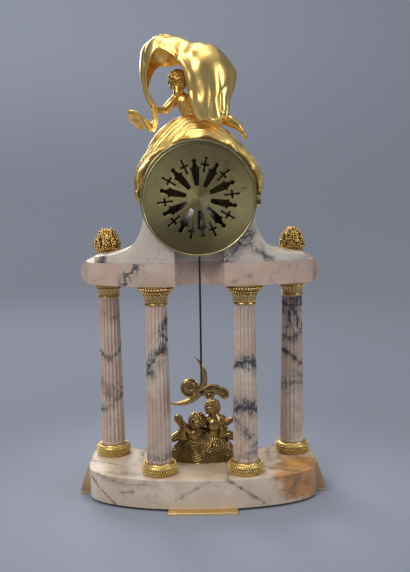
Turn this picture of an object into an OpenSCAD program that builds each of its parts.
// Portico clock: a marble portico on four fluted columns carries a drum clock dressed with gilt figures.
// The dial faces -Y and the fretted rear cover faces +Y. Z is up, from the surface that the clock stands on.
// Sizes are in millimetres.

/* [Plinth] */
// Height of the feet under the plinth
foot_h = 2.8; // [2:0.1:6]
// Height of the plinth's marble slab
plinth_h = 34.3; // [28:0.1:42]
// Depth of the bowed rear, from the ends of the bow to its crown
bow_depth = 48.7; // [40:0.1:56]
// How far behind the middle line the bow starts
bow_start = 13; // [8:0.5:18]
// How far the moulding's foot stands out from its top
flare = 11; // [6:0.5:14]
// Radius of the plinth's round corners about the outer columns
lobe_r = 24.9; // [23:0.1:28]
// Distance of the hollow front's middle from the middle line
hollow_y = 25.4; // [22:0.1:28]
// Width of the brass bar under the rear edge
rear_bar_w = 79; // [50:1:110]
// How far the bar stands out behind the plinth
rear_bar_out = 8.6; // [4:0.1:12]

/* [Columns] */
// Distance of the outer columns from the middle
outer_x = 111.1; // [104:0.1:116]
// Distance of the outer columns in front of the middle line
outer_y = 34; // [32:0.5:38]
// Distance of the inner columns from the middle
inner_x = 49.8; // [46:0.1:56]
// Distance of the inner columns behind the middle line
inner_y = 33.5; // [30:0.5:35]
// Height of the gilt rings under the shafts
ring_h = 14.2; // [10:0.1:18]
// Radius of the gilt rings
ring_r = 20.8; // [18:0.1:22]
// Length of a shaft
shaft_h = 184; // [150:1:220]
// Radius of a shaft at its foot
shaft_r = 14.5; // [12:0.1:16]
// Radius of a shaft at its neck
neck_r = 12.5; // [10:0.1:14]
// Number of flutes round a shaft
flutes = 18; // [12:1:24]
// Radius of a flute
flute_r = 1.9; // [1:0.1:2.4]
// Height of a capital
capital_h = 20.5; // [16:0.1:24]
// Radius of a capital's top
capital_r = 20.5; // [18:0.1:22]
// Radius of the iron rods that tie the columns
tie_r = 2.5; // [2:0.1:3.5]

/* [Entablature] */
// Height of the entablature
beam_h = 25.7; // [20:0.1:32]
// How far the entablature's edge stands outside the capitals
beam_margin = 0; // [0:0.1:3]
// How far its half-round moulding bulges
bulge = 6; // [3:0.5:8]
// Depth of its bowed rear
beam_bow = 48; // [42:0.1:54]
// Width of the notch that the pendulum hangs in
notch_w = 55; // [40:1:60]
// Distance of the notch's bottom behind the middle line
notch_y = 29; // [26:0.5:34]

/* [Shoulder block] */
// Half width of the block under the drum
block_half = 119; // [112:0.5:124]
// Height of the block at its ends
block_end_h = 7; // [6:0.1:12]
// Height of the block beside the drum
block_peak_h = 52; // [44:0.5:58]
// How far the block's front lies before the middle line
block_front = 16; // [12:0.5:18]

/* [Drum] */
// Height of the drum's axis above the entablature
drum_lift = 71; // [66:0.5:80]
// Radius of the drum
drum_r = 61; // [58:0.5:64]
// Wall of the drum
drum_wall = 1.5; // [1:0.1:2.5]
// Distance of the drum's front edge before the middle line
drum_front = 29; // [26:0.5:32]
// Distance of the drum's rear edge behind the middle line
drum_rear = 55.4; // [54:0.1:58]
// How far the rear cover and the bezel stand out round the drum
rim = 1.5; // [0.5:0.1:3]
// Thickness of the rear cover's rim
cover_t = 2.2; // [1.6:0.1:3]

/* [Movement] */
// Radius of the two plates
plate_r = 46; // [45:0.5:50]
// Thickness of the plates
plate_t = 2; // [1.5:0.1:3]
// Gap between the plates
plate_gap = 38; // [38:0.5:42]
// Radius of the bell
bell_r = 27; // [22:0.5:28]
// Depth of the bell
bell_depth = 17; // [14:0.5:18]
// Height of the anchor's axis above the drum's axis
anchor_rise = 36.1; // [35:0.1:37]
// Length of the pendulum, from its bending point to the middle of the bob's boss
pendulum_l = 251.4; // [235:0.1:260]
// Thickness of the bob's casting
bob_t = 4.4; // [3:0.1:4.6]

/* [Gilt work] */
// Width of the mound under the cherubs
mound_w = 80; // [60:1:90]
// Height of the mound
mound_h = 34; // [26:0.5:40]
// Thickness of the veil's metal
veil_t = 1.6; // [1.2:0.1:2.5]
// Height of the mantle's crown above the drum
mantle_rise = 24; // [18:0.5:30]
// Radius of the flower finials
finial_r = 15; // [12:0.5:16]
// Height of the flower finials
finial_h = 36; // [28:0.5:40]

/* [Hidden] */
$fn = 64;
fit = 0.05;
gap = 0.3;
ease = 0.8;
marble = [0.80, 0.70, 0.63];
gilt = [0.86, 0.66, 0.25];
aged = [0.55, 0.42, 0.16];
brass = [0.55, 0.50, 0.32];
steel = [0.45, 0.46, 0.48];
silvered = [0.75, 0.75, 0.74];
enamel = [0.94, 0.93, 0.89];

// Levels, from the floor up
plinth_top = foot_h + plinth_h;
shaft_z = plinth_top + ring_h;
capital_z = shaft_z + shaft_h;
beam_z = capital_z + capital_h;
beam_top = beam_z + beam_h;
drum_z = beam_top + drum_lift;

// Plan of the plinth and the entablature
side_end = 5;
plinth_half = outer_x + lobe_r;
beam_lobe = capital_r + beam_margin;
beam_half = outer_x + beam_lobe;
bow_inset = 2;
lobe_steps = 20;
bow_steps = 44;
plinth_rear = bow_start + bow_depth;
beam_rear = side_end + beam_bow;
columns = [[-outer_x, -outer_y], [outer_x, -outer_y], [-inner_x, inner_y], [inner_x, inner_y]];
bore_r = tie_r + fit;
nut_h = 4;
nut_r = 5.5;
sink = nut_h + 1;

// Depths in the drum, along Y
dial_t = 1.6;
dial_r = drum_r - 9.2;
ring_t = 2;
dial_face = -(drum_front + ring_t - 1);
bezel_back = -(drum_front + ring_t + 0.2);
bezel_depth = 8.3;
plate_mid = 1;
front_plate_y = plate_mid - plate_gap / 2 - plate_t;
back_plate_y = plate_mid + plate_gap / 2;
cover_y = drum_rear + 0.2;
rod_r = 1;
pendulum_y = drum_rear - 3.9;
bob_y = pendulum_y + 1.5 - bob_t;
strap_x = drum_r - drum_wall - 6;
strap_w = 3;
flange_y = drum_rear - 5.4;
slot_half = 11;

// Hinges of the rear cover and of the bezel
knuckle_r = 2.2;
pin_r = 0.9;
knuckle_h = 4.4;
hinge_x = drum_r + rim + knuckle_r + 0.2;
crown_z = drum_z + drum_r;
cover_hinge_y = cover_y + cover_t / 2;
bezel_hinge_y = bezel_back - knuckle_r;

// Wheel counts, modules and places, seen from the back with X to the left
tooth_add = 0.7;
tooth_ded = 1.15;
barrel_n = 84;
barrel_m = 0.45;
barrel_x = 20.5;
barrel_dz = -15;
barrel_body_r = 17.2;
pinion_n = 12;
leaf_n = 8;
second_n = 72;
second_m = 0.4;
centre_n = 80;
centre_m = 0.36;
third_n = 96;
third_m = 0.28;
escape_n = 30;
escape_r = 9.5;
escape_dz = 22;
strike_n = 60;
strike_m = 0.36;
strike_pinion_n = 10;
pin_wheel_n = 50;
wheel_t = 1.2;
arbor_r = 1;
pivot_r = 0.6;
motion_m = 0.45;
cannon_n = 12;
minute_n = 36;
minute_pinion_n = 10;
hour_n = 40;
hour_m = (cannon_n + minute_n) * motion_m / (minute_pinion_n + hour_n);
pin_count = 8;

function mesh_r(n, m) = n * m / 2;
function dist(na, nb, m) = mesh_r(na + nb, m);
// The point at given distances from two others, on the left or the right of the way between them
function meet(p, rp, q, rq, side) =
    let (d = norm(q - p), e = (q - p) / d, a = (rp * rp - rq * rq + d * d) / (2 * d))
    p + a * e + side * sqrt(rp * rp - a * a) * [-e[1], e[0]];
function polar(p, r, a) = p + r * [cos(a), sin(a)];
function heading(p, q) = atan2(q[1] - p[1], q[0] - p[0]);
// Turn that sets gear b in mesh with gear a
function in_mesh(a, na, turn_a, b, nb) =
    let (way = heading(a, b), phase = (way - turn_a) * na / 360)
    way + 180 - (0.5 - phase) * 360 / nb;

centre_at = [0, 0];
going_at = [barrel_x, barrel_dz];
striking_at = [-barrel_x, barrel_dz];
second_at = meet(centre_at, dist(second_n, pinion_n, second_m),
    going_at, dist(barrel_n, pinion_n, barrel_m), 1);
escape_at = [0, escape_dz];
leaf_root = mesh_r(leaf_n, third_m) - tooth_ded * third_m;
third_at = meet(centre_at, dist(centre_n, leaf_n, centre_m),
    escape_at, dist(third_n, leaf_n, third_m), 1);
anchor_at = [0, anchor_rise];
strike_at = polar(striking_at, dist(barrel_n, pinion_n, barrel_m), 105);
pin_wheel_at = polar(strike_at, dist(strike_n, strike_pinion_n, strike_m), 100);
fly_at = polar(pin_wheel_at, dist(pin_wheel_n, leaf_n, strike_m), 70);
hammer_at = [-40, 10];
minute_at = polar(centre_at, dist(minute_n, cannon_n, motion_m), 60);
pillars_at = [[0, -42], [41.5, 6], [-41.9, -4], [24, 35], [-13, 40]];
pillar_r = 2.2;
bell_at = [0, 5 - bell_r];
bell_mouth = back_plate_y + plate_t + 6;
bell_wall = 1.6;

// Depths of the wheels, from the front plate back
train_y = front_plate_y + plate_t;
centre_y = train_y + 4;
barrel_y = train_y + 9;
barrel_w = 21;
barrel_teeth_y = barrel_y + barrel_w - 2;
second_y = barrel_y + barrel_w + 3;
third_y = second_y + 2.4;
escape_y = train_y + 18;
motion_y = front_plate_y - 2.8;

// Plan curves

// Front and sides of the plan, offset outwards by p, from the right-hand end to the left-hand one.
// The round corners run tangent into the hollow front, so every offset stays smooth.
function hollow_r(r) =
    let (k = hollow_y - outer_y)
    (outer_x * outer_x + k * k - r * r) / (2 * (r - k));
function front_path(r, p) =
    let (rc = hollow_r(r), yc = -hollow_y - rc, meet_a = atan2(-outer_y - yc, outer_x), sweep = 180 - meet_a)
    let (half = concat(
        [[outer_x + r + p, side_end]],
        [for (i = [0:lobe_steps]) polar([outer_x, -outer_y], r + p, -sweep * i / lobe_steps)],
        [for (i = [1:lobe_steps - 1]) polar([0, yc], rc - p, meet_a + (90 - meet_a) * i / lobe_steps)]))
    concat(half, [[0, yc + rc - p]], [for (i = [len(half) - 1:-1:0]) [-half[i][0], half[i][1]]]);
function bow_path(half, start, depth) =
    [for (i = [0:bow_steps]) [-half * cos(180 * i / bow_steps), start + depth * sin(180 * i / bow_steps)]];

// A closed solid between two grids of points, an outer one and an inner one
module sheet_solid(outer, inner) {
    rows = len(outer);
    cols = len(outer[0]);
    base = rows * cols;
    pts = concat([for (r = outer) each r], [for (r = inner) each r]);
    grid = [for (i = [0:rows - 2]) for (j = [0:cols - 2]) [i * cols + j, i * cols + j + 1,
        (i + 1) * cols + j + 1, (i + 1) * cols + j]];
    rim_ids = concat([for (j = [0:cols - 2]) j], [for (i = [0:rows - 2]) i * cols + cols - 1],
        [for (j = [cols - 1:-1:1]) (rows - 1) * cols + j], [for (i = [rows - 1:-1:1]) i * cols]);
    count = len(rim_ids);
    tris = concat(
        [for (q = grid) each [[q[0], q[1], q[2]], [q[0], q[2], q[3]]]],
        [for (q = grid) each [[base + q[0], base + q[2], base + q[1]],
            [base + q[0], base + q[3], base + q[2]]]],
        [for (k = [0:count - 1]) let (a = rim_ids[k], b = rim_ids[(k + 1) % count])
            each [[b, a, base + a], [b, base + a, base + b]]]);
    polyhedron(pts, tris);
}

// A moulding swept along the front path: profile is a list of [offset, height]
module moulding(r, profile) {
    outer = [for (s = profile) [for (q = front_path(r, s[0])) [q[0], q[1], s[1]]]];
    inner = [for (s = profile) [for (q = front_path(r, 0)) [q[0], q[1], s[1]]]];
    sheet_solid(outer, inner);
}

// Helpers for pieces that lie along Y
module along_y(at, y0, y1) {
    translate([at[0], y1, drum_z + at[1]])
        rotate([90, 0, 0])
            linear_extrude(y1 - y0)
                children();
}
module rod_y(at, y0, y1, r) {
    along_y(at, y0, y1)
        circle(r);
}
module gear_2d(n, m, turn) {
    r = mesh_r(n, m);
    p = 360 / n;
    shape = [[r - tooth_ded * m, -0.26], [r, -0.17], [r + tooth_add * m, -0.07],
        [r + tooth_add * m, 0.07], [r, 0.17], [r - tooth_ded * m, 0.26]];
    polygon([for (i = [0:n - 1]) for (s = shape) polar([0, 0], s[0], turn + p * (i + s[1]))]);
}
module wheel(at, n, m, turn, y0, hub_r) {
    r = mesh_r(n, m);
    rim_in = r - 2.6 * m - 0.8;
    hole_r = (rim_in - hub_r - 1) / 2 - 0.3;
    along_y(at, y0, y0 + wheel_t)
        difference() {
            gear_2d(n, m, turn);
            for (a = [0:60:300])
                translate(polar([0, 0], (rim_in + hub_r + 1) / 2, a))
                    circle(min(hole_r, (rim_in + hub_r) / 4.4));
        }
}
module pinion(at, n, m, turn, y0, y1) {
    along_y(at, y0, y1)
        gear_2d(n, m, turn);
}
// An arbor between the plates with its two pivots
module arbor(at, r = arbor_r) {
    rod_y(at, train_y + gap, back_plate_y - gap, r);
    rod_y(at, front_plate_y, back_plate_y + plate_t, pivot_r);
}
module limb(pts) {
    for (i = [0:len(pts) - 2])
        hull()
            for (q = [pts[i], pts[i + 1]])
                translate([q[0], q[1], q[2]])
                    sphere(q[3], $fn = 18);
}

// Marble and its fittings

module plinth_slab() {
    color(marble)
        difference() {
            translate([0, 0, foot_h])
                linear_extrude(plinth_h)
                    polygon(concat(front_path(lobe_r, 0),
                        bow_path(plinth_half - bow_inset, bow_start, bow_depth)));
            for (c = columns)
                translate([c[0], c[1], 0]) {
                    cylinder(h = plinth_top + 1, r = bore_r);
                    translate([0, 0, foot_h - 1])
                        cylinder(h = sink + 1, r = nut_r + ease);
                }
        }
}
module plinth_moulding() {
    steps = 7;
    color(marble)
        moulding(lobe_r, [for (i = [0:steps]) let (t = i / steps)
            [flare * (1 - pow(t, 1.25)) + 0.4, foot_h + plinth_h * t]]);
}
module rear_foot_bar() {
    depth = rear_bar_out + 22;
    color(gilt)
        translate([-rear_bar_w / 2, plinth_rear + rear_bar_out - depth, 0])
            cube([rear_bar_w, depth, foot_h]);
}
module corner_feet() {
    reach = plinth_half + flare;
    side_w = 12;
    side_l = 26;
    color(gilt) {
        for (s = [-1, 1])
            translate([s * (reach - side_w / 2), side_end - 1 - side_l / 2, foot_h / 2])
                cube([side_w, side_l, foot_h], center = true);
        for (s = [-1, 1])
            translate([s * outer_x, -outer_y - lobe_r + 4, 0])
                cylinder(h = foot_h, r = 13);
    }
}
module shaft(c) {
    tilt = atan((shaft_r - neck_r) / shaft_h);
    margin = 5;
    color(marble)
        translate([c[0], c[1], shaft_z])
            difference() {
                cylinder(h = shaft_h, r1 = shaft_r, r2 = neck_r);
                for (i = [0:flutes - 1])
                    rotate([0, 0, 360 * (i + 0.5) / flutes])
                        translate([shaft_r + flute_r * 0.45, 0, 0])
                            rotate([0, -tilt, 0])
                                translate([0, 0, margin])
                                    cylinder(h = shaft_h - 2 * margin, r = flute_r, $fn = 24);
                translate([0, 0, -1])
                    cylinder(h = shaft_h + 2, r = bore_r);
            }
}
module base_rings() {
    band = ring_h * 0.38;
    torus_r = ring_h * 0.2;
    color(gilt)
        for (c = columns)
            translate([c[0], c[1], plinth_top])
                difference() {
                    union() {
                        cylinder(h = band, r = ring_r);
                        translate([0, 0, band])
                            cylinder(h = ring_h - band, r = ring_r - 2.6);
                        translate([0, 0, band + torus_r])
                            rotate_extrude()
                                translate([ring_r - 2.9, 0])
                                    circle(torus_r, $fn = 32);
                    }
                    translate([0, 0, -1])
                        cylinder(h = ring_h + 2, r = bore_r);
                }
}
module capitals() {
    abacus = 3.4;
    bead = 2;
    color(gilt)
        for (c = columns)
            translate([c[0], c[1], capital_z])
                difference() {
                    rotate_extrude()
                        polygon([[0, 0], [neck_r + 1.2, 0], [neck_r + 1.2, 2.2], [neck_r, 2.8],
                            [neck_r + 0.5, 5], [neck_r + 4.3, capital_h * 0.52],
                            [neck_r + 5.6, capital_h * 0.64], [capital_r - bead, capital_h * 0.7],
                            [capital_r - bead, capital_h - abacus], [capital_r, capital_h - abacus],
                            [capital_r, capital_h], [0, capital_h]]);
                    translate([0, 0, -1])
                        cylinder(h = capital_h + 2, r = bore_r);
                }
}
module tie_rods() {
    color(steel)
        for (c = columns)
            translate([c[0], c[1], foot_h + 0.5])
                cylinder(h = beam_top - foot_h - 1, r = tie_r);
}
module tie_nuts() {
    color(steel)
        for (c = columns)
            for (z = [foot_h + 1, beam_top - sink])
                translate([c[0], c[1], z])
                    difference() {
                        cylinder(h = nut_h, r = nut_r, $fn = 6);
                        translate([0, 0, -1])
                            cylinder(h = nut_h + 2, r = bore_r);
                    }
}
module notch_2d() {
    r = notch_w / 2;
    translate([0, notch_y + r])
        circle(r);
    translate([-r, notch_y + r])
        square([notch_w, plinth_rear]);
}
module entablature() {
    color(marble)
        difference() {
            translate([0, 0, beam_z])
                linear_extrude(beam_h)
                    difference() {
                        polygon(concat(front_path(beam_lobe, 0),
                            bow_path(beam_half - 0.5, side_end, beam_bow)));
                        notch_2d();
                    }
            for (c = columns)
                translate([c[0], c[1], 0]) {
                    translate([0, 0, beam_z - 1])
                        cylinder(h = beam_h + 2, r = bore_r);
                    translate([0, 0, beam_top - sink])
                        cylinder(h = sink + 1, r = nut_r + ease);
                }
        }
}
module entablature_moulding() {
    steps = 10;
    color(marble)
        moulding(beam_lobe, [for (i = [0:steps]) let (t = i / steps)
            [bulge * sin(180 * t) + 0.4, beam_z + beam_h * t]]);
}
module shoulder_block() {
    steps = 24;
    inner = drum_r - 1;
    rise = block_peak_h - block_end_h;
    span = block_half - inner;
    // The shoulder falls steeply beside the drum and runs out in a long flat tail
    curve = [for (i = [0:steps]) let (x = span * pow(i / steps, 1.6))
        [inner + x, block_end_h + rise * (0.72 * exp(-x / 7.5) + 0.28 * pow(1 - x / span, 1.5))]];
    color(marble)
        difference() {
            intersection() {
                translate([0, 0, beam_top])
                    linear_extrude(block_peak_h + 1)
                        difference() {
                            intersection() {
                                polygon(concat([[beam_half, -block_front], [-beam_half, -block_front]],
                                    bow_path(beam_half - 0.5, side_end, beam_bow)));
                                square([2 * block_half, 4 * beam_rear], center = true);
                            }
                            notch_2d();
                        }
                translate([0, beam_rear + 1, beam_top])
                    rotate([90, 0, 0])
                        linear_extrude(beam_rear + block_front + 2)
                            polygon(concat([[-block_half, 0], [block_half, 0]],
                                [for (i = [steps:-1:0]) curve[i]],
                                [for (i = [0:steps]) [-curve[i][0], curve[i][1]]]));
            }
            rod_y([0, 0], -block_front - 1, beam_rear + 1, drum_r + fit);
        }
}
module finial(side) {
    bloom = finial_r * 0.36;
    foot = finial_h * 0.24;
    color(gilt)
        translate([side * outer_x, -outer_y, beam_top]) {
            rotate_extrude()
                polygon([[0, 0], [finial_r * 0.72, 0], [finial_r * 0.72, foot * 0.35],
                    [finial_r * 0.5, foot * 0.6], [finial_r * 0.55, foot], [finial_r * 0.92, finial_h * 0.5],
                    [finial_r * 0.8, finial_h * 0.66], [0, finial_h * 0.8]]);
            for (a = [0:45:315])
                rotate([0, 0, a])
                    translate([finial_r - bloom, 0, finial_h * 0.52])
                        sphere(bloom, $fn = 24);
            for (a = [30:72:318])
                rotate([0, 0, a])
                    translate([finial_r * 0.45, 0, finial_h * 0.72])
                        sphere(bloom, $fn = 24);
            translate([0, 0, finial_h - bloom])
                sphere(bloom, $fn = 24);
        }
}

// Gilt figures

module cherub_mound() {
    depth = 34;
    color(aged)
        translate([-1, -8, plinth_top])
            intersection() {
                resize([mound_w, depth, 2 * mound_h])
                    sphere(20, $fn = 44);
                translate([-mound_w, -mound_w, 0])
                    cube([2 * mound_w, 2 * mound_w, mound_h + 1]);
            }
}
module cherub_pair() {
    color(aged)
        translate([0, 0, plinth_top]) {
            limb([[6, -4, 51, 11], [8, -6, 40, 7], [10, -8, 30, 12], [4, -12, 22, 11]]);
            limb([[14, -4, 40, 6.4], [22, -4, 48, 5], [28, -4, 55, 4]]);
            limb([[-13, -8, 66, 9.5], [-13, -9, 54, 6], [-16, -12, 42, 11], [-14, -13, 28, 12]]);
            limb([[-20, -8, 45, 6.4], [-28, -6, 50, 4.8], [-35, -5, 54, 3.8]]);
            limb([[24, -10, 26, 6], [37, -8, 32, 4]]);
            limb([[-26, -10, 26, 6], [-37, -8, 34, 4]]);
        }
}
module putto() {
    color(gilt)
        translate([0, 0, crown_z]) {
            limb([[3, 0, 23, 13], [8, 2, 37, 12], [14, 3, 47, 10.5], [19, 3, 57, 5], [22, 3, 68, 11.5]]);
            limb([[23, 6, 50, 6.2], [36, 10, 37, 5], [44, 14, 37, 3.8]]);
            limb([[6, 0, 50, 6], [-6, -7, 63, 4.8], [2, -9, 85, 3.6]]);
            limb([[-3, -4, 21, 10.5], [-28, -12, 29, 7.6], [-46, -6, 19, 4.8], [-52, -9, 11, 3.2]]);
            limb([[6, -10, 19, 10], [-8, -26, 22, 7.4], [-13, -27, 8, 4.4]]);
        }
}
// The veil is lofted between its rear rim and its front rim, with a bulge between them.
// Each row holds a point on the rear rim, one on the front rim and the bulge, from the drum's crown.
veil_rows = [
    [[77, 22, 32], [71, 12, 26], [0, 0, 3]], [[66, 22, 19], [62, 8, 27], [0, 0, 4]],
    [[54, 22, 11], [50, 8, 20], [1, 0, -3]], [[43, 22, 16], [49, 6, 25], [2, 0, 0]],
    [[43, 20, 35], [49, 8, 36], [1, 0, 0]], [[53, 22, 56], [55, 4, 56], [7, 0, 0]],
    [[54, 26, 77], [51, -4, 76], [13, 0, 3]], [[50, 30, 91], [45, -12, 86], [15, 0, 22]],
    [[42, 33, 100], [28, -16, 88], [12, 8, 33]], [[28, 37, 93], [3, -14, 91], [12, 6, 37]],
    [[17, 39, 80], [-24, -6, 91], [4, 12, 34]], [[12, 40, 65], [-38, 4, 85], [-6, 20, 28]],
    [[10, 40, 52], [-42, 10, 67], [-12, 24, 6]], [[6, 40, 37], [-34, 14, 47], [-12, 22, 0]],
    [[-2, 37, 23], [-33, 18, 27], [-10, 16, 0]]];
veil_sub = 3;
veil_cols = 12;
// A point on the smooth curve through four
function curve_4(a, b, c, d, t) = 0.5 * (2 * b + (c - a) * t + (2 * a - 5 * b + 4 * c - d) * t * t
    + (3 * b - a - 3 * c + d) * t * t * t);
function veil_row(k, s) =
    let (n = len(veil_rows) - 1, i = min(floor(s), n - 1), t = s - i)
    curve_4(veil_rows[max(i - 1, 0)][k], veil_rows[i][k], veil_rows[i + 1][k],
        veil_rows[min(i + 2, n)][k], t);
function veil_point(s, t) =
    veil_row(0, s) * (1 - t) + veil_row(1, s) * t + veil_row(2, s) * 4 * t * (1 - t) * 0.62;
function veil_normal(s, t) =
    let (e = 0.05, a = veil_point(s + e, t) - veil_point(s - e, t))
    let (b = veil_point(s, t + e) - veil_point(s, t - e))
    cross(a, b) / norm(cross(a, b));
module veil() {
    rows = (len(veil_rows) - 1) * veil_sub;
    // The end rows lie a little inside the curve, where its slope is known
    inset = 0.2;
    places = [for (i = [0:rows]) [for (j = [0:veil_cols])
        [max(inset, min(rows - inset, i)) / veil_sub, j / veil_cols]]];
    color(gilt)
        translate([0, 0, crown_z])
            sheet_solid([for (r = places) [for (q = r) veil_point(q[0], q[1])]],
                [for (r = places) [for (q = r) veil_point(q[0], q[1]) - veil_t * veil_normal(q[0], q[1])]]);
}
// Outer radius of the mantle at angle a and depth share t
function mantle_r(a, t) =
    drum_r + 3 + mantle_rise * exp(-pow((a - 84) / 40, 2)) * (0.72 + 0.28 * sin(180 * t))
    + 7 * exp(-pow((a - 158) / 20, 2)) + 5.5 * exp(-pow((a - 24) / 20, 2))
    + 1.6 * sin(11 * a + 160 * t) * sin(180 * t);
module mantle() {
    a0 = -2;
    a1 = 176;
    steps = 48;
    cols = 8;
    y0 = -drum_front + 3;
    y1 = drum_rear - 6.4;
    ends = 1.2;
    places = [for (i = [0:steps]) [for (j = [0:cols]) [a0 + (a1 - a0) * i / steps, j / cols]]];
    color(gilt)
        translate([0, 0, drum_z])
            sheet_solid(
                [for (r = places) [for (q = r) let (m = mantle_r(q[0], q[1]) - ends * pow(2 * q[1] - 1, 6))
                    [m * cos(q[0]), y0 + (y1 - y0) * q[1], m * sin(q[0])]]],
                [for (r = places) [for (q = r) let (m = drum_r + 0.2)
                    [m * cos(q[0]), y0 + (y1 - y0) * q[1], m * sin(q[0])]]]);
}

// Drum and its covers

module knuckle(x, y, z, h) {
    translate([x, y, drum_z + z])
        difference() {
            cylinder(h = h, r = knuckle_r, $fn = 32);
            translate([0, 0, -1])
                cylinder(h = h + 2, r = pin_r + fit, $fn = 32);
        }
}
// The two fixed knuckles of a hinge, joined to the drum by leaves
module fixed_knuckles(x, y, reach, leaf_y) {
    leaf_t = 1.6;
    cheek = 1.2;
    for (z = [-1.5 * knuckle_h - gap, 0.5 * knuckle_h + gap])
        difference() {
            union() {
                translate([x, y, drum_z + z])
                    cylinder(h = knuckle_h, r = knuckle_r, $fn = 32);
                translate([min(x, x + reach), leaf_y, drum_z + z])
                    cube([abs(reach), leaf_t, knuckle_h]);
                translate([x - cheek, min(y, leaf_y), drum_z + z])
                    cube([2 * cheek, abs(y - leaf_y) + (y < leaf_y ? leaf_t : 0), knuckle_h]);
            }
            translate([x, y, drum_z + z - 1])
                cylinder(h = knuckle_h + 2, r = pin_r, $fn = 32);
        }
}
module drum_case() {
    inner = drum_r - drum_wall;
    flange_t = 1.5;
    reach = hinge_x - drum_r + 1;
    color(brass)
        difference() {
            union() {
                along_y([0, 0], -drum_front, drum_rear)
                    difference() {
                        circle(drum_r);
                        circle(inner);
                    }
                along_y([0, 0], flange_y, flange_y + flange_t)
                    difference() {
                        circle(inner + 0.5);
                        circle(inner - 8);
                    }
                fixed_knuckles(-hinge_x, cover_hinge_y, reach, drum_rear - 2.2);
                fixed_knuckles(hinge_x, bezel_hinge_y, -reach, -drum_front + 0.4);
            }
            translate([-slot_half, flange_y - 3, drum_z - drum_r - 1])
                cube([2 * slot_half, drum_rear, drum_r]);
            for (s = [-1, 1])
                rod_y([s * (strap_x + strap_w / 2), 0], flange_y - 1, flange_y + flange_t + 1, 1.25);
        }
}
// One large slot of the fret: a lancet with two barbs, a neck and a round head
module lancet_2d() {
    polygon([[-2.2, 13.5], [2.2, 13.5], [3, 19], [3.9, 26], [4, 29.6], [5.8, 32.4], [3.1, 33.4], [1.3, 38.5],
        [-1.3, 38.5], [-3.1, 33.4], [-5.8, 32.4], [-4, 29.6], [-3.9, 26], [-3, 19]]);
    translate([0, 40])
        circle(2.4, $fn = 24);
}
// One small cross between two lancets
module cross_2d() {
    arm = 2;
    middle = 36.4;
    translate([-arm / 2, 29])
        square([arm, 14.5]);
    translate([-3.2, middle - arm / 2])
        square([6.4, arm]);
    translate([0, middle])
        circle(2, $fn = 20);
    for (p = [[0, 29], [0, 43.5], [3.2, middle], [-3.2, middle]])
        translate(p)
            circle(1.4, $fn = 20);
}
module rear_cover() {
    r = drum_r + rim;
    plate = 1.2;
    bead_w = 2.4;
    count = 10;
    color(brass)
        union() {
            along_y([0, 0], cover_y, cover_y + plate)
                difference() {
                    circle(r);
                    for (i = [0:count - 1]) {
                        rotate(360 * i / count - 6)
                            lancet_2d();
                        rotate(360 * i / count + 12)
                            cross_2d();
                    }
                }
            along_y([0, 0], cover_y, cover_y + cover_t)
                difference() {
                    circle(r);
                    circle(r - bead_w);
                }
            knuckle(-hinge_x, cover_hinge_y, -knuckle_h / 2, knuckle_h);
            translate([-hinge_x + pin_r + fit + 0.2, cover_y, drum_z - knuckle_h / 2])
                cube([knuckle_r + 1.4, cover_t, knuckle_h]);
        }
}
module hinge_pin(x, y) {
    head = 1.7;
    half = 1.5 * knuckle_h + gap;
    color(gilt)
        translate([x, y, drum_z - half - 0.4]) {
            cylinder(h = 2 * half + 0.8, r = pin_r, $fn = 32);
            translate([0, 0, -head * 0.8])
                sphere(head, $fn = 32);
        }
}
module rear_hinge_pin() {
    hinge_pin(-hinge_x, cover_hinge_y);
}
module bezel_hinge_pin() {
    hinge_pin(hinge_x, bezel_hinge_y);
}
module dial_ring() {
    color(gilt)
        along_y([0, 0], -drum_front - ring_t, -drum_front)
            difference() {
                circle(drum_r);
                circle(dial_r + 0.2);
            }
}
module bezel() {
    r = drum_r + rim;
    lip = dial_r - 1;
    seat = dial_r + 1.4;
    color(gilt) {
        translate([0, bezel_back, drum_z])
            rotate([90, 0, 0])
                rotate_extrude()
                    polygon([[seat, 0], [r, 0], [r, 2.4], [r - 2, 4], [r - 3, 6.4], [r - 6, bezel_depth],
                        [lip, bezel_depth - 1], [lip, bezel_depth - 2.4], [seat, bezel_depth - 2.4]]);
        knuckle(hinge_x, bezel_hinge_y, -knuckle_h / 2, knuckle_h);
        translate([hinge_x - pin_r - fit - 0.2 - knuckle_r - 2, bezel_hinge_y - 1, drum_z - knuckle_h / 2])
            cube([knuckle_r + 2, 2, knuckle_h]);
    }
}
module dial_glass() {
    color([0.8, 0.88, 0.9, 0.35])
        rod_y([0, 0], bezel_back - bezel_depth + 2.4, bezel_back - bezel_depth + 3.9, dial_r + 1.2);
}
module dial() {
    feet_r = 1.4;
    color(enamel) {
        along_y([0, 0], dial_face, dial_face + dial_t)
            difference() {
                circle(dial_r);
                circle(4);
                for (p = [going_at, striking_at])
                    translate(p)
                        circle(3.4);
            }
        for (a = [30, 150, 270])
            rod_y(polar([0, 0], plate_r - 6, a), dial_face + dial_t, front_plate_y, feet_r);
    }
}
module movement_straps() {
    w = 9;
    color(brass)
        for (s = [-1, 1])
            difference() {
                translate([s * (strap_x + strap_w / 2) - strap_w / 2, -drum_front, drum_z - w / 2])
                    cube([strap_w, flange_y + drum_front, w]);
                rod_y([s * (strap_x + strap_w / 2), 0], flange_y - 8, flange_y + 1, 1.25);
            }
}
module strap_screws() {
    color(steel)
        for (s = [-1, 1]) {
            rod_y([s * (strap_x + strap_w / 2), 0], flange_y - 7, flange_y + 1.5, 1.2);
            rod_y([s * (strap_x + strap_w / 2), 0], flange_y + 1.5, flange_y + 3, 2.4);
        }
}

// Movement

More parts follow.
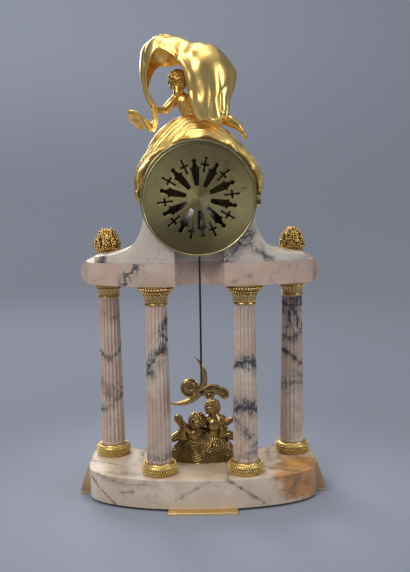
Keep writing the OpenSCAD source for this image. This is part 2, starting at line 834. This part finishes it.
module plate(y, holes, ears) {
    color(brass)
        along_y([0, 0], y, y + plate_t)
            difference() {
                union() {
                    circle(plate_r);
                    if (ears)
                        square([2 * strap_x, 8], center = true);
                }
                for (h = holes)
                    translate(h[0])
                        circle(h[1] + fit);
            }
}
pivots = [for (p = [second_at, third_at, escape_at, strike_at, pin_wheel_at, fly_at]) [p, pivot_r]];
barrel_arbor_r = 2;
hammer_arbor_r = 1;
anchor_arbor_r = 1;
module front_plate() {
    plate(front_plate_y, concat(pivots, [for (p = [going_at, striking_at]) [p, barrel_arbor_r]],
        [[centre_at, arbor_r], [hammer_at, hammer_arbor_r], [anchor_at, anchor_arbor_r]]), true);
}
module back_plate() {
    plate(back_plate_y, concat(pivots, [for (p = [going_at, striking_at]) [p, barrel_arbor_r]],
        [[centre_at, pivot_r], [hammer_at, hammer_arbor_r], [anchor_at, anchor_arbor_r]]), true);
}
module plate_pillars() {
    color(brass)
        for (p = pillars_at)
            rod_y(p, train_y, back_plate_y, pillar_r);
}
module barrel(at, turn) {
    wall = 1.4;
    color(brass)
        difference() {
            union() {
                rod_y(at, barrel_y, barrel_y + barrel_w, barrel_body_r);
                along_y(at, barrel_teeth_y, barrel_teeth_y + 2)
                    gear_2d(barrel_n, barrel_m, turn);
            }
            rod_y(at, barrel_y - 1, barrel_y + barrel_w + 1, barrel_arbor_r + fit);
            along_y(at, barrel_y + wall, barrel_teeth_y)
                difference() {
                    circle(barrel_body_r - wall);
                    circle(barrel_arbor_r + 1.6);
                }
        }
}
module going_barrel() {
    barrel(going_at, 0);
}
module striking_barrel() {
    barrel(striking_at, 0);
}
// A winding arbor: it runs through the barrel and ends in a square behind its hole in the dial
module winding_arbor(at) {
    square_w = 2.6;
    ratchet_r = 6;
    color(steel) {
        rod_y(at, front_plate_y - 3, back_plate_y + plate_t + 1, barrel_arbor_r);
        along_y(at, dial_face - 0.5, front_plate_y - 3)
            square(square_w, center = true);
        rod_y(at, front_plate_y - 1.6, front_plate_y - gap, ratchet_r);
    }
}
module going_arbor() {
    winding_arbor(going_at);
}
module striking_arbor() {
    winding_arbor(striking_at);
}
second_turn = in_mesh(going_at, barrel_n, 0, second_at, pinion_n);
centre_turn = in_mesh(second_at, second_n, 0, centre_at, pinion_n);
third_turn = in_mesh(centre_at, centre_n, 0, third_at, leaf_n);
escape_turn = in_mesh(third_at, third_n, 0, escape_at, leaf_n);
strike_turn = in_mesh(striking_at, barrel_n, 0, strike_at, pinion_n);
pin_turn = in_mesh(strike_at, strike_n, 0, pin_wheel_at, strike_pinion_n);
fly_turn = in_mesh(pin_wheel_at, pin_wheel_n, 0, fly_at, leaf_n);
minute_turn = in_mesh(centre_at, cannon_n, 0, minute_at, minute_n);
hour_turn = in_mesh(minute_at, minute_pinion_n, 0, centre_at, hour_n);
module second_wheel() {
    color(brass) {
        arbor(second_at);
        pinion(second_at, pinion_n, barrel_m, second_turn, barrel_teeth_y - 1.5, barrel_teeth_y + 3.4);
        wheel(second_at, second_n, second_m, 0, second_y, 2);
    }
}
module centre_wheel() {
    color(brass) {
        rod_y(centre_at, train_y + gap, back_plate_y - gap, arbor_r + 0.3);
        rod_y(centre_at, back_plate_y - gap - 1, back_plate_y + plate_t, pivot_r);
        rod_y(centre_at, dial_face - 2.6, train_y + 1, arbor_r);
        pinion(centre_at, pinion_n, second_m, centre_turn, second_y - 1.2, second_y + wheel_t + 0.6);
        wheel(centre_at, centre_n, centre_m, 0, centre_y, 2);
    }
}
module third_wheel() {
    color(brass) {
        arbor(third_at);
        pinion(third_at, leaf_n, centre_m, third_turn, centre_y - 1.5, centre_y + wheel_t + 1.5);
        wheel(third_at, third_n, third_m, 0, third_y, 2);
    }
}
module escape_wheel() {
    tooth = 360 / escape_n;
    root = escape_r - 1.5;
    color(brass) {
        arbor(escape_at, leaf_root);
        pinion(escape_at, leaf_n, third_m, escape_turn, third_y - 0.6, third_y + wheel_t + 0.6);
        along_y(escape_at, escape_y, escape_y + wheel_t)
            difference() {
                polygon([for (i = [0:escape_n - 1]) each [polar([0, 0], root, tooth * i),
                    polar([0, 0], root, tooth * (i + 0.55)), polar([0, 0], escape_r, tooth * (i + 0.92)),
                    polar([0, 0], escape_r, tooth * (i + 0.98))]]);
                for (a = [0:72:288])
                    translate(polar([0, 0], 4.6, a))
                        circle(1.9);
            }
    }
}
// The anchor carries the pallets, and behind the back plate the crutch that guides the pendulum
module anchor() {
    reach = anchor_rise - escape_dz;
    pallet_in = escape_r + 1.15;
    crutch_l = 24;
    crutch_y = pendulum_y - 4;
    fork_w = 1.4;
    color(steel) {
        rod_y(anchor_at, front_plate_y, crutch_y + 1.4, anchor_arbor_r);
        along_y(escape_at, escape_y - 0.4, escape_y + wheel_t + 0.4)
            union() {
                difference() {
                    circle(pallet_in + 2);
                    circle(pallet_in);
                    translate([-20, -40])
                        square([40, 40 + escape_r * 0.5]);
                }
                translate([-1.2, pallet_in + 0.6])
                    square([2.4, reach - pallet_in]);
            }
        along_y(anchor_at, crutch_y, crutch_y + 1.4)
            translate([-0.9, -crutch_l])
                square([1.8, crutch_l]);
        for (s = [-1, 1])
            translate([s * (rod_r + 0.2 + fork_w / 2) - fork_w / 2, crutch_y,
                drum_z + anchor_rise - crutch_l])
                cube([fork_w, pendulum_y - crutch_y + 1.2, 1.6]);
        translate([-rod_r - fork_w, crutch_y, drum_z + anchor_rise - crutch_l])
            cube([2 * (rod_r + fork_w), 1.4, 1.6]);
    }
}
spring_w = 2.4;
spring_t = 0.2;
module suspension_cock() {
    arm = 5;
    grip = 2.2;
    z = drum_z + anchor_rise + 4;
    y0 = back_plate_y + plate_t;
    color(brass)
        difference() {
            union() {
                translate([-arm, y0, z])
                    cube([2 * arm, pendulum_y + grip - y0, 4]);
                translate([-arm, y0, z - 3])
                    cube([2 * arm, 2, 7]);
            }
            translate([-spring_t / 2 - 0.02, pendulum_y - spring_w / 2 - fit, z - 1])
                cube([spring_t + 0.04, spring_w + 2 * fit, 6]);
            along_y([0, anchor_rise], y0 - 1, y0 + 3)
                circle(anchor_arbor_r + 0.6);
        }
}
module suspension_spring() {
    color(steel)
        translate([-spring_t / 2, pendulum_y - spring_w / 2, drum_z + anchor_rise - 3])
            cube([spring_t, spring_w, 11]);
}
module pendulum_rod() {
    top = drum_z + anchor_rise - 1.2;
    foot = drum_z + anchor_rise - pendulum_l - 5;
    color(steel)
        difference() {
            union() {
                translate([0, pendulum_y, foot])
                    cylinder(h = top - foot - 4, r = rod_r, $fn = 24);
                translate([-1.6, pendulum_y - 2, top - 5])
                    cube([3.2, 4, 5]);
            }
            translate([-0.7, pendulum_y - spring_w / 2 - gap, top - 3.4])
                cube([1.4, spring_w + 2 * gap, 4]);
        }
}
// The bob is a crescent moon among clouds, in one plane, hung on the rod's foot by its boss
module bob_2d() {
    moon_r = 30.3;
    moon = [23.5, 14.6];
    hollow = polar(moon, 9.5, 33);
    boss_r = 5;
    difference() {
        translate(moon)
            circle(moon_r);
        translate(hollow)
            circle(moon_r + 1.1);
    }
    circle(boss_r);
    for (c = [[14, 6, 9.5], [7, 3, 5], [-8, 1, 6.5], [-17, 2, 7.5], [-24, -4, 6], [-11, -5, 5]])
        translate([c[0], c[1]])
            circle(c[2]);
}
module pendulum_bob() {
    color(aged)
        difference() {
            translate([0, bob_y + bob_t, drum_z + anchor_rise - pendulum_l])
                rotate([90, 0, 0])
                    linear_extrude(bob_t)
                        bob_2d();
            translate([0, pendulum_y, drum_z + anchor_rise - pendulum_l - 20])
                cylinder(h = 70, r = rod_r, $fn = 24);
            bob_nut_room();
        }
}
nut_t = 2.4;
nut_wide = 3;
module bob_nut_room() {
    translate([-nut_wide - gap, bob_y - 1, drum_z + anchor_rise - pendulum_l - nut_t / 2 - gap])
        cube([2 * (nut_wide + gap), bob_t + 2, nut_t + 2 * gap]);
}
module bob_nut() {
    color(steel)
        translate([0, pendulum_y, drum_z + anchor_rise - pendulum_l - nut_t / 2])
            difference() {
                cylinder(h = nut_t, r = nut_wide, $fn = 32);
                translate([0, 0, -1])
                    cylinder(h = nut_t + 2, r = rod_r + fit, $fn = 24);
            }
}
module strike_wheel() {
    color(brass) {
        arbor(strike_at);
        pinion(strike_at, pinion_n, barrel_m, strike_turn, barrel_teeth_y - 1.5, barrel_teeth_y + 3.4);
        wheel(strike_at, strike_n, strike_m, 0, second_y, 2);
    }
}
module pin_wheel() {
    ring = mesh_r(pin_wheel_n, strike_m) - 1.8;
    color(brass) {
        arbor(pin_wheel_at);
        pinion(pin_wheel_at, strike_pinion_n, strike_m, pin_turn, second_y - 1, second_y + wheel_t + 1);
        along_y(pin_wheel_at, escape_y, escape_y + wheel_t)
            difference() {
                gear_2d(pin_wheel_n, strike_m, 0);
                for (a = [0:72:288])
                    translate(polar([0, 0], 3.8, a))
                        circle(1.5);
            }
        for (i = [0:pin_count - 1])
            rod_y(polar(pin_wheel_at, ring, 360 * i / pin_count), escape_y - 2, escape_y + 0.2, 0.5);
    }
}
module fly() {
    vane = 5.5;
    color(brass) {
        arbor(fly_at);
        pinion(fly_at, leaf_n, strike_m, fly_turn, escape_y - 1, escape_y + wheel_t + 1);
        along_y(fly_at, escape_y + 5, escape_y + 15)
            square([2 * vane, 0.8], center = true);
    }
}
stand_neck_r = 1.5;
// The hammer lifts away from the bell's rim
module hammer() {
    head_r = 3.5;
    head_y = bell_mouth + 1.5;
    head_at = [-bell_r - head_r - 0.8, bell_at[1]];
    way = head_at - hammer_at;
    color(steel) {
        rod_y(hammer_at, front_plate_y, head_y + 3, hammer_arbor_r);
        along_y(hammer_at, head_y, head_y + 2)
            rotate(atan2(way[1], way[0]))
                translate([0, -1])
                    square([norm(way), 2]);
        rod_y(head_at, head_y - 1, head_y + 4, head_r);
    }
}
module bell() {
    // Radius of the ball that gives the bell its mouth and depth
    ball = (bell_r * bell_r + bell_depth * bell_depth) / (2 * bell_depth);
    color(silvered)
        translate([bell_at[0], bell_mouth + bell_depth, drum_z + bell_at[1]])
            rotate([90, 0, 0])
                difference() {
                    translate([0, 0, ball])
                        sphere(ball);
                    translate([0, 0, ball])
                        sphere(ball - bell_wall);
                    translate([0, 0, bell_depth])
                        cylinder(h = 2 * ball, r = 2 * ball);
                    translate([0, 0, -1])
                        cylinder(h = bell_depth, r = stand_neck_r + 0.1);
                }
}
module bell_stand() {
    crown = bell_mouth + bell_depth;
    color(brass) {
        rod_y(bell_at, back_plate_y + plate_t, crown - bell_wall - 0.4, 2 * stand_neck_r);
        rod_y(bell_at, crown - bell_wall - 1, crown, stand_neck_r);
        rod_y(bell_at, crown, crown + 1.6, 2 * stand_neck_r + 0.2);
    }
}

// Motion work and hands

hour_y = motion_y - 3.2;
module cannon_pinion() {
    color(brass)
        difference() {
            union() {
                pinion(centre_at, cannon_n, motion_m, 0, motion_y, motion_y + 2.2);
                rod_y(centre_at, dial_face - 3.2, motion_y + 0.2, 1.7);
            }
            rod_y(centre_at, dial_face - 4, motion_y + 3, arbor_r + fit);
        }
}
module minute_wheel() {
    color(brass) {
        wheel(minute_at, minute_n, motion_m, minute_turn, motion_y + 0.5, 2);
        pinion(minute_at, minute_pinion_n, hour_m, 0, hour_y - 0.4, motion_y + 0.6);
        rod_y(minute_at, hour_y - 0.4, front_plate_y - fit, 0.9);
    }
}
module hour_wheel() {
    color(brass)
        difference() {
            union() {
                wheel(centre_at, hour_n, hour_m, hour_turn, hour_y, 3);
                rod_y(centre_at, dial_face - 1.6, hour_y + 0.2, 3);
            }
            rod_y(centre_at, dial_face - 3, motion_y, 1.7 + fit);
        }
}
module hand(length, w, y, bore, turn) {
    color(steel)
        along_y(centre_at, y, y + 0.7)
            rotate(turn)
                difference() {
                    union() {
                        circle(bore + 1.6);
                        polygon([[-w / 2, 0], [w / 2, 0], [w * 0.3, length * 0.62], [w * 0.7, length * 0.76],
                            [0, length], [-w * 0.7, length * 0.76], [-w * 0.3, length * 0.62]]);
                    }
                    circle(bore);
                }
}
module hour_hand() {
    hand(dial_r * 0.52, 3.6, dial_face - 1.6, 3, 55);
}
module minute_hand() {
    hand(dial_r * 0.8, 2.8, dial_face - 3.2, 1.7, -60);
}

plinth_slab();
plinth_moulding();
rear_foot_bar();
corner_feet();
shaft(columns[1]);  // shaft_outer_right
shaft(columns[0]);  // shaft_outer_left
shaft(columns[3]);  // shaft_inner_right
shaft(columns[2]);  // shaft_inner_left
base_rings();
capitals();
tie_rods();
tie_nuts();
entablature();
entablature_moulding();
shoulder_block();
finial(1);  // finial_right
finial(-1);  // finial_left
cherub_mound();
cherub_pair();
putto();
veil();
mantle();
drum_case();
rear_cover();
rear_hinge_pin();
dial_ring();
bezel();
bezel_hinge_pin();
dial_glass();
dial();
movement_straps();
strap_screws();
front_plate();
back_plate();
plate_pillars();
going_barrel();
going_arbor();
second_wheel();
centre_wheel();
third_wheel();
escape_wheel();
anchor();
suspension_cock();
suspension_spring();
pendulum_rod();
pendulum_bob();
bob_nut();
striking_barrel();
striking_arbor();
strike_wheel();
pin_wheel();
fly();
hammer();
bell();
bell_stand();
cannon_pinion();
minute_wheel();
hour_wheel();
hour_hand();
minute_hand();
